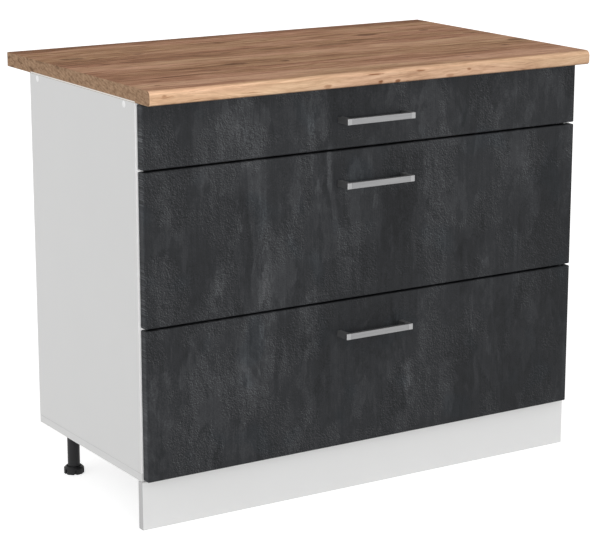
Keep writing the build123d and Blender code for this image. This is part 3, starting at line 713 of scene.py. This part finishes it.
# ---- drawer fronts ---------------------------------------
# 18 mm boards wrapped in a graphite film with the look of trowelled plaster, soft round
# the edges. All three are cut from one sheet, so the pattern runs on from one to the next.
def trowelled_graphite():
    """Dark plaster: slow clouds, upright drags, strokes with one hard edge, and rough specks.

    Each stroke is a patch, given by its middle, half its width and height, its lean, its
    strength, and which of its sides is the hard one.
    """
    film = Finish("trowelled_graphite")
    x, z = film.place("X"), film.place("Z")
    wobble = film.noise((26, 1, 11), detail=2)
    torn = film.noise((150, 1, 110), detail=1, shift=(0, 0, 3))
    drift = film.noise((8, 1, 4), detail=2, shift=(2, 0, 7))
    wx = x + (wobble - 0.5) * 0.026 + (torn - 0.5) * 0.005 + (drift - 0.5) * 0.02
    wz = z + (drift - 0.5) * 0.05 + (wobble - 0.5) * 0.04
    strokes = [
        (-0.268, 0.72, 0.028, 0.12, -0.05, 0.24, -1), (-0.246, 0.54, 0.024, 0.17, -0.05, 0.62, -1),
        (-0.231, 0.39, 0.02, 0.11, -0.05, 0.6, -1), (-0.286, 0.54, 0.036, 0.115, -0.04, -0.6, 1),
        (-0.296, 0.755, 0.026, 0.07, 0, 0.14, 1), (-0.138, 0.69, 0.012, 0.115, -0.1, 0.7, 1),
        (-0.118, 0.655, 0.015, 0.065, 0, -0.5, -1), (-0.092, 0.655, 0.008, 0.05, 0, 1.05, -1),
        (-0.086, 0.56, 0.008, 0.07, -0.06, 0.65, -1), (-0.066, 0.47, 0.015, 0.07, -0.12, 0.5, 1),
        (0.079, 0.59, 0.05, 0.12, 0, -0.5, -1), (0.279, 0.434, 0.022, 0.04, 0, 0.85, 0),
        (0.364, 0.605, 0.03, 0.06, 0, 0.22, 0), (0.19, 0.52, 0.1, 0.13, 0, 0.18, 0),
        (-0.281, 0.29, 0.016, 0.045, 0, 0.35, -1), (-0.291, 0.25, 0.032, 0.06, 0.05, 0.36, 1),
        (-0.256, 0.29, 0.006, 0.045, 0, 0.55, 1), (-0.196, 0.155, 0.026, 0.055, 0, 0.32, 0),
        (-0.081, 0.122, 0.028, 0.028, 0, 0.5, 0), (0.069, 0.12, 0.028, 0.024, 0, 0.45, 0),
        (0.092, 0.225, 0.014, 0.1, -0.2, 0.75, -1), (0.06, 0.325, 0.008, 0.075, -0.2, -0.7, 0),
        (0.261, 0.19, 0.01, 0.05, 0, 0.6, -1), (0.252, 0.26, 0.006, 0.08, 0, 0.3, 1),
        (-0.356, 0.44, 0.02, 0.045, 0.1, 0.5, 1), (-0.346, 0.424, 0.008, 0.014, 0, -0.7, 0),
        (-0.331, 0.637, 0.009, 0.009, 0, 0.6, 0), (-0.291, 0.56, 0.006, 0.01, 0, 0.9, 0),
        (-0.371, 0.66, 0.008, 0.07, 0, 0.35, -1), (-0.152, 0.37, 0.016, 0.045, 0, 0.4, 0),
        (-0.116, 0.25, 0.018, 0.07, 0, -0.35, 1), (0.219, 0.44, 0.018, 0.04, 0, -0.4, 0),
        (0.164, 0.43, 0.016, 0.07, 0, 0.28, 1), (0.37, 0.33, 0.02, 0.06, 0, -0.45, -1),
        (0.44, 0.25, 0.02, 0.09, 0, 0.22, 1), (-0.16, 0.47, 0.03, 0.06, 0, -0.2, 0),
    ]
    tone = 0
    for stroke_x, stroke_z, half_width, half_height, lean, strength, hard_side in strokes:
        aside = (wx - stroke_x - (z - stroke_z) * lean) / half_width
        up = ((wz - stroke_z) / half_height).size()
        left_edge = aside.between(-1.15, -0.95 if hard_side < 0 else 0.1)
        right_edge = 1 - aside.between(0.95 if hard_side > 0 else -0.1, 1.15)
        tone = left_edge * right_edge * (1 - up.between(0.45, 1.2)) * strength + tone
    clouds = film.noise((6, 1, 3.2), detail=4, rough=0.6)
    drags = film.noise((70, 1, 5), rough=0.55)
    mottle = film.noise((60, 1, 42), detail=5, rough=0.72)
    patches = film.noise((11, 1, 8), rough=0.6, shift=(4, 0, 1)).between(0.48, 0.62)
    pits = film.noise((380, 1, 300), detail=2, rough=0.6)
    specks = (pits - 0.5) * (patches * 0.8 + 0.2)
    dust = film.noise((900, 1, 700), detail=1) - 0.5
    crackle = film.embossed((270, 1, 200), 0.0007, warp=0.8)
    pimples = film.embossed((500, 1, 400), 0.0005, detail=1)
    leather = film.noise((11, 1, 8), shift=(1, 0, 5)).between(0.48, 0.55)
    layers = film.noise((8, 1, 3.6), detail=5, rough=0.62, shift=(7, 0, 3)).between(0.48, 0.51) - 0.5
    scrapes = film.noise((17, 1, 6), detail=5, rough=0.6, warp=0.6, shift=(2, 0, 9)).between(0.53, 0.56) - 0.5
    scratches = film.noise((420, 1, 24), detail=2, shift=(0, 0, 8)) - 0.5
    flakes = film.noise((60, 1, 22), detail=5, rough=0.66, shift=(3, 0, 6)).between(0.44, 0.48)
    broken = flakes * 0.75 + 0.40
    tone = tone * broken * 0.30 + (clouds - 0.5) * 0.34 + (drags - 0.5) * 0.26
    tone = tone + (mottle - 0.5) * 0.44 + specks * 0.7 + dust * 0.35
    tone = tone + (crackle * 2.2 + pimples * 1.5) * (leather * 0.85 + 0.15) + scratches * 0.25
    tone = tone + layers * 0.12 + scrapes * 0.13 - x * 0.13 + z * 0.10
    colour = film.ramp(tone + 0.336, [(0.02, (0.0100, 0.0107, 0.0118)), (0.40, (0.0243, 0.0257, 0.0283)),
                                     (0.62, (0.0430, 0.0448, 0.0482)), (1.0, (0.0980, 0.1005, 0.1050))])
    cool = film.noise((13, 1, 11), detail=1, shift=(9, 0, 2)).between(0.60, 0.72)
    colour = film.blend(cool * 0.22, colour, (0.80, 1.04, 1.16), "MULTIPLY")
    # The side faces of each front are painted lighter, as if lit by the lamp on the left: painted light.
    at_side = x.size().between(0.4938, 0.4955)
    painted_band_tone = film.noise((1, 1, 9), detail=2) * 1.2 + 0.95
    side_painted_light = film.point(painted_band_tone, painted_band_tone, painted_band_tone)
    colour = film.blend(at_side, colour, film.blend(1.0, colour, side_painted_light, "MULTIPLY"))
    relief = film.relief(mottle * 0.6 + specks * 1.5 + dust * 0.4 + layers * 0.3, 0.00012)
    rough = 0.56 - tone * 0.10
    return film.surface(Base_Color=colour, Roughness=rough, Normal=relief, Specular_IOR_Level=0.16)


graphite = trowelled_graphite()
levels = ("bottom", "middle", "top")
front_edge = 0.0025
rear_edge = 0.0005
for level in levels:
    low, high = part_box(level + "_drawer_front")
    places = eased(low.y, high.y, front_edge, rear_edge)
    front_shell = swept("Y", rectangle(low.xz, high.xz), [front_edge] * 4, places)
    front = piece(level + "_front_panel", graphite, front_shell)
    stands_for(front, level + "_drawer_front", level + "_drawer")


# ---- handles ---------------------------------------------
# Flat bracket handles of brushed aluminium, 155 mm long, screwed on from inside. A fine
# line crosses each end of the bar, where it goes over into its leg.
def satin_aluminium():
    """Brushed aluminium: fine lines along X, a satin sheen, and slight cloudiness."""
    metal = Finish("satin_aluminium")
    aside = metal.place("X").size()
    lines = metal.noise((14, 900, 900), detail=4, rough=0.75)
    cloud = metal.noise((30, 80, 80), detail=2)
    painted_leg_highlight = aside.between(handle_line - 0.0001, handle_line + 0.0001)
    in_line = 1 - (aside - handle_line).size().between(0.0002, 0.0006)
    colour = metal.blend(lines, (0.200, 0.200, 0.203), (0.356, 0.356, 0.360))
    # The ends of the bar, where it bends into its legs, are painted lighter: a painted highlight on the
    # bends.
    colour = metal.blend(painted_leg_highlight * 0.22, colour, (0.62, 0.62, 0.62))
    colour = metal.blend(in_line * 0.45, colour, (0.14, 0.14, 0.14))
    relief = metal.relief(lines * 0.2 - in_line * 8, 0.00003)
    return metal.surface(Base_Color=colour, Roughness=0.44 + cloud * 0.1, Metallic=1.0, Normal=relief)


handle_edge = 0.0008
bar = 0.008
leg = 0.010
handle_line = 0.0675
inner_radius = 0.008
aluminium = satin_aluminium()
for level in levels:
    low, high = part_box(level + "_handle")
    plan = [(low.x, low.y), (high.x, low.y), (high.x, high.y), (high.x - leg, high.y),
            (high.x - leg, low.y + bar), (low.x + leg, low.y + bar), (low.x + leg, high.y), (low.x, high.y)]
    small = 0.0003
    bends = [handle_edge, handle_edge, small, small, inner_radius, inner_radius, small, small]
    handle_shell = swept("Z", plan, bends, eased(low.z, high.z, handle_edge, handle_edge))
    handle = piece(level + "_bracket_handle", aluminium, handle_shell)
    stands_for(handle, level + "_handle", level + "_drawer")

# ---- drawer boxes ----------------------------------------
# Five boards a drawer: two sides with a front and a back between them, all of white
# melamine on chipboard, and a hardboard bottom in a groove. The ends of the sides are bare.
box_low, box_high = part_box("bottom_drawer_left_side")


def bare_at_box_ends(board):
    y = board.place("Y")
    return at_low_face(y, box_low.y).most(at_high_face(y, box_high.y))


box_board = white_board("box_board", 0.79, bare_at_box_ends)
for level in levels:
    for part in ("left_side", "right_side", "inner_front", "back"):
        eased_board(f"{level}_drawer_{part}", box_board, level + "_drawer")
    low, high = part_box(level + "_drawer_bottom")
    dressed(hardboard(level + "_bottom_hardboard", "Z", (low.z + high.z) / 2, True), level + "_drawer_bottom")


# ---- ball runners ----------------------------------------
# Rolled zinc-plated strip: a member on the carcass, one on the drawer and one between,
# bent to a C with a race for the balls along each flange. The bright steel balls sit
# twelve a row in cages of thin strip.
def plated_steel(name, dark, light, rough):
    """Zinc plating: blue-grey steel with faint spangle and rolling lines along Y."""
    steel = Finish(name)
    spangle = steel.noise((160, 160, 160), detail=2)
    rolling = steel.noise((1800, 12, 1800), detail=1)
    colour = steel.blend(spangle * 0.6 + rolling * 0.4, dark, light)
    relief = steel.relief(rolling + spangle * 0.3, 0.00001)
    return steel.surface(Base_Color=colour, Roughness=rough + spangle * 0.12, Metallic=1.0, Normal=relief)


def bent(corners, radius, steps=5):
    """An open path whose inner corners are short parabolas that touch both their sides."""
    corners = np.array(corners, float)
    came = corners[1:-1] - corners[:-2]
    goes = corners[2:] - corners[1:-1]
    came /= np.linalg.norm(came, axis=1)[:, None]
    goes /= np.linalg.norm(goes, axis=1)[:, None]
    half_turn = np.arccos((came * goes).sum(1).clip(-1, 1)) / 2
    reach = (radius * np.tan(half_turn))[:, None]
    t = np.linspace(0, 1, steps)[None, :, None]
    middle = corners[1:-1]
    first, last = (middle - came * reach)[:, None], (middle + goes * reach)[:, None]
    bends = first * (1 - t) ** 2 + middle[:, None] * 2 * t * (1 - t) + last * t ** 2
    return np.concatenate([corners[:1], bends.reshape(-1, 2), corners[-1:]])


def strip_shells(half_path, radius, thickness, wall, middle_z, start_y, end_y):
    """A pair of rolled strips, left and right, along Y.

    half_path runs from the lip of the upper flange to the web, as distance from the side
    panel and height above the runner's middle. Its mirror image below completes the C. The
    outline is the path moved by half the thickness to both of its sides.
    """
    upper = np.array(half_path, float)
    path = bent(np.concatenate([upper, upper[::-1] * (1, -1)]), radius)
    along = np.gradient(path, axis=0)
    along /= np.linalg.norm(along, axis=1)[:, None]
    aside = np.stack([-along[:, 1], along[:, 0]], 1) * thickness / 2
    outline = np.concatenate([path + aside, (path - aside)[::-1]])
    shells = []
    for side in (-1, 1):
        ring = np.stack([side * (wall - outline[:, 0]), np.zeros(len(outline)), outline[:, 1] + middle_z], 1)
        shells.append(shell_through(np.array([ring + (0, start_y, 0), ring + (0, end_y, 0)])))
    return shells


def ball_shell(centre, radius):
    """A ball of eight meridians and six parallels."""
    latitude = np.linspace(-1.35, 1.35, 6)
    profile = np.stack([radius * np.cos(latitude), radius * np.sin(latitude)], 1)
    return turned(profile, np.linspace(0, 2 * math.pi, 8, endpoint=False), centre)


strip = 0.001
cage_strip = 0.0006
ball_radius = 0.0015
balls_a_row = 12
member_bend = 0.0011
cage_bend = 0.0009
outer_ball = (0.00505, 0.02005)
inner_ball = (0.00875, 0.01635)
cabinet_path = [(0.0073, 0.0216), (0.0064, 0.0216), (0.00505, 0.0221), (0.0037, 0.0216), (0.0006, 0.0216)]
middle_path = [(0.0108, 0.0182), (0.0099, 0.0182), (0.00875, 0.0184), (0.0076, 0.0182), (0.0064, 0.0183),
               (0.00505, 0.01795), (0.0041, 0.0183), (0.0028, 0.0183)]
drawer_path = [(0.0065, 0.0146), (0.0074, 0.0146), (0.00875, 0.0142), (0.0101, 0.0146), (0.0121, 0.0146)]
outer_cage_path = [(0.0072, outer_ball[1]), (0.0017, outer_ball[1])]
inner_cage_path = [(0.0109, inner_ball[1]), (0.0039, inner_ball[1])]
zinc = plated_steel("zinc_strip", (0.50, 0.51, 0.53), (0.66, 0.67, 0.69), 0.28)
bright = plated_steel("bright_balls", (0.62, 0.62, 0.62), (0.74, 0.74, 0.74), 0.16)
wall = -float(side_high.x)
members = (("cabinet", cabinet_path, "carcass"), ("middle", middle_path, "{}_middle_members"),
           ("drawer", drawer_path, "{}_drawer"))
cages = (("outer", outer_cage_path, outer_ball), ("inner", inner_cage_path, inner_ball))
for level in levels:
    for part, path, body in members:
        node = f"{level}_runner_{part}_members"
        low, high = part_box(node)
        shells = strip_shells(path, member_bend, strip, wall, (low.z + high.z) / 2, low.y, high.y)
        stands_for(piece(f"{level}_{part}_strips", zinc, *shells), node, body.format(level))
    for part, path, (ball_out, ball_up) in cages:
        node = f"{level}_{part}_ball_cages"
        low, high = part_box(node)
        middle_z = (low.z + high.z) / 2
        shells = strip_shells(path, cage_bend, cage_strip, wall, middle_z, low.y, high.y)
        pitch = (high.y - low.y) / balls_a_row
        centres = [(side * (wall - ball_out), low.y + (i + 0.5) * pitch, middle_z + up * ball_up)
                   for side in (-1, 1) for up in (-1, 1) for i in range(balls_a_row)]
        shells += [ball_shell(centre, ball_radius) for centre in centres]
        caged = piece(f"{level}_{part}_balls", bright, *shells)
        stands_for(caged, node, f"{level}_{part}_cages")


# ---- screws ----------------------------------------------
# Zinc-plated chipboard screws with a cross recess: countersunk where they sit flush, with
# a domed head under the rails, the leg flanges and behind the handles.
def placed(shell, origin, way):
    """A copy of a shell whose upward axis is turned to a way along X, Y or Z, at a new origin."""
    points, faces = shell
    third = np.array(way, float)
    first = np.roll(third, 1)
    return points @ np.array([first, np.cross(third, first), third]) + origin, faces


recess_angles = np.radians((np.arange(4)[:, None] * 90 + np.array([-13, 13, 32, 58])).reshape(-1))
in_arm = np.tile([True, True, False, False], 4)


def screw_shell(points):
    """A round screw in place of one of the CAD's six-sided screws.

    Its axis is the solid's longest side. The head is where the points lie furthest from
    the axis, and it is domed when that is below its end. From the middle of the head out,
    the rings are the recess's floor, its four arms, the head's face, its rim and the shank.
    """
    low, high = points.min(0), points.max(0)
    axis = int(np.argmax(high - low))
    middle = (low + high) / 2
    off = points - middle
    height = off[:, axis].copy()
    off[:, axis] = 0
    spread = np.linalg.norm(off, axis=1)
    widest = np.isclose(spread, spread.max(), atol=0.00005)
    up = np.sign(height[widest].mean())
    length = high[axis] - low[axis]
    dome = length / 2 - np.abs(height[widest]).max()
    head = spread.max()
    shank = spread[height * up < -length / 2 + 0.0001].max()
    deep = 0.35 * head
    rise = np.array([0, 0.10, 0.45, 1.0]) * dome
    cone = head - shank if dome < 0.0005 else 0
    profile = [(0.10 * head, -deep), (0.22 * head, -deep), (0.24 * head, -rise[0]), (0.55 * head, -rise[1]),
               (0.60 * head, -rise[1]), (0.88 * head, -rise[2] - 0.00005), (head, -rise[3] - 0.0002),
               (shank + 0.00005, -rise[3] - 0.0003 - cone), (shank, -length + shank), (0.3 * shank, -length)]
    radius, fall = np.array(profile).T
    falls = np.repeat(fall[:, None], len(recess_angles), 1)
    falls[2, in_arm] = -deep
    falls[3, in_arm] = -0.6 * deep - rise[1]
    around = np.stack([np.cos(recess_angles), np.sin(recess_angles)], -1)
    rings = np.concatenate([radius[:, None, None] * around, falls[..., None]], -1)
    way = np.zeros(3)
    way[axis] = up
    return placed(shell_through(rings), middle + way * length / 2, way)


screw_metal = plated_steel("screw_zinc", (0.46, 0.47, 0.49), (0.62, 0.62, 0.63), 0.30)
carcass_screw_nodes = ("carcass_screws", "worktop_screws", "leg_screws", "runner_screws")
screw_nodes = dict.fromkeys(carcass_screw_nodes, "carcass")
screw_nodes.update({level + "_drawer_screws": level + "_drawer" for level in levels})
for node, body in screw_nodes.items():
    shells = [screw_shell(points) for points in solids_of(node)]
    stands_for(piece("recessed_" + node, screw_metal, *shells), node, body)


# ---- caps, bumpers and dowels ----------------------------
# White press-in caps over the rail screws, milky bumpers that the fronts close on, and
# fluted beech dowels between the sides, the bottom and the rails.
def plain_plastic(name, dark, light, rough, gloss=0.5):
    """Smooth moulded plastic, a little uneven in tone and gloss."""
    plastic = Finish(name)
    cloud = plastic.noise((120, 120, 120), detail=2)
    relief = plastic.relief(plastic.noise((600, 600, 600)), 0.00002)
    colour = plastic.blend(cloud, dark, light)
    rough = rough + cloud * 0.1
    return plastic.surface(Base_Color=colour, Roughness=rough, Normal=relief, Specular_IOR_Level=gloss)


def beech():
    """Bare beech: pale fine grain with short dark flecks."""
    wood = Finish("beech")
    flecks = wood.noise((90, 400, 400), detail=2).between(0.55, 0.7)
    colour = wood.blend(flecks, (0.62, 0.44, 0.27), (0.44, 0.28, 0.15))
    return wood.surface(Base_Color=colour, Roughness=0.6 + flecks * 0.1)


def disc_shell(points, axis, outwards, dome):
    """A domed disc in place of a short prism: its edge drops by the dome in a quarter of its radius."""
    low, high = points.min(0), points.max(0)
    thick = high[axis] - low[axis]
    wide = max(high - low) / 2
    middle = (low + high) / 2
    profile = [(0.1 * wide, 0), (0.7 * wide, -0.15 * dome), (0.92 * wide, -0.55 * dome),
               (wide, -dome), (wide, -thick), (0.1 * wide, -thick)]
    way = np.zeros(3)
    way[axis] = outwards if outwards else np.sign(middle[axis])
    return placed(turned(profile, round_angles[::3]), middle + way * thick / 2, way)


def dowel_shell(points):
    """A fluted dowel: its radius dips twelve times round, and its ends are chamfered."""
    low, high = points.min(0), points.max(0)
    axis = int(np.argmax(high - low))
    half = (high[axis] - low[axis]) / 2
    wide = np.sort(high - low)[1] / 2
    flute = 1 - 0.05 * (np.cos(round_angles * 12) > 0.4)
    profile = [(0.1 * wide, half), (0.8 * wide, half), (wide, half - 0.001),
               (wide, 0.001 - half), (0.8 * wide, -half), (0.1 * wide, -half)]
    radius = np.array(profile)[:, :1]
    way = np.zeros(3)
    way[axis] = 1
    return placed(turned(profile, round_angles, reach=radius * flute), (low + high) / 2, way)


cap_plastic = plain_plastic("cap_plastic", (0.96, 0.96, 0.96), (0.98, 0.98, 0.98), 0.25, 1.0)
bumper_plastic = plain_plastic("bumper_plastic", (0.62, 0.62, 0.60), (0.72, 0.72, 0.70), 0.3)
cap_shells = [disc_shell(points, 0, 0, 0.0004) for points in solids_of("screw_caps")]
stands_for(piece("domed_caps", cap_plastic, *cap_shells), "screw_caps", "carcass")
bumper_shells = [disc_shell(points, 1, -1, 0.0008) for points in solids_of("front_bumpers")]
stands_for(piece("domed_bumpers", bumper_plastic, *bumper_shells), "front_bumpers", "carcass")
dowel_shells = [dowel_shell(points) for points in solids_of("dowels")]
stands_for(piece("fluted_dowels", beech(), *dowel_shells), "dowels", "carcass")
